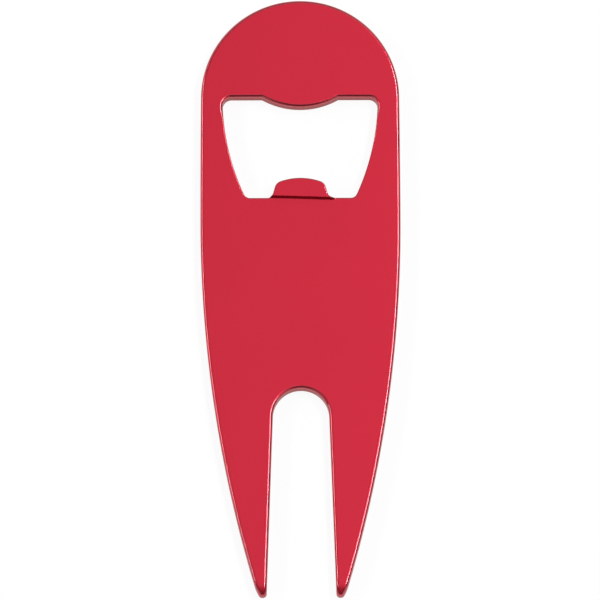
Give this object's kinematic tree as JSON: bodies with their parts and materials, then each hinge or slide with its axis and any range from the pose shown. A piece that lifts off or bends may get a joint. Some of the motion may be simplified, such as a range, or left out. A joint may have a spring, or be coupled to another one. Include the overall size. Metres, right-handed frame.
{
  "type": "divot repair tool",
  "caption": "Flat anodised aluminium divot repair tool: forked prongs at one end, and a round head with a crown-cap opener window and pressed lifting tab.",
  "frame": {"origin": "under the middle of the plate, on the plane of its back face", "axes": "+Z out of the front face, +Y towards the round head, -Y towards the prongs, +X across the plate"},
  "size_m": [0.0318, 0.0958, 0.0041],
  "materials": {
    "anodised_plate": "red anodised aluminium, satin faces with tumbled glossy edges"
  },
  "bodies": {
    "root": {"tool_body": "anodised_plate"}
  },
  "joints": []
}
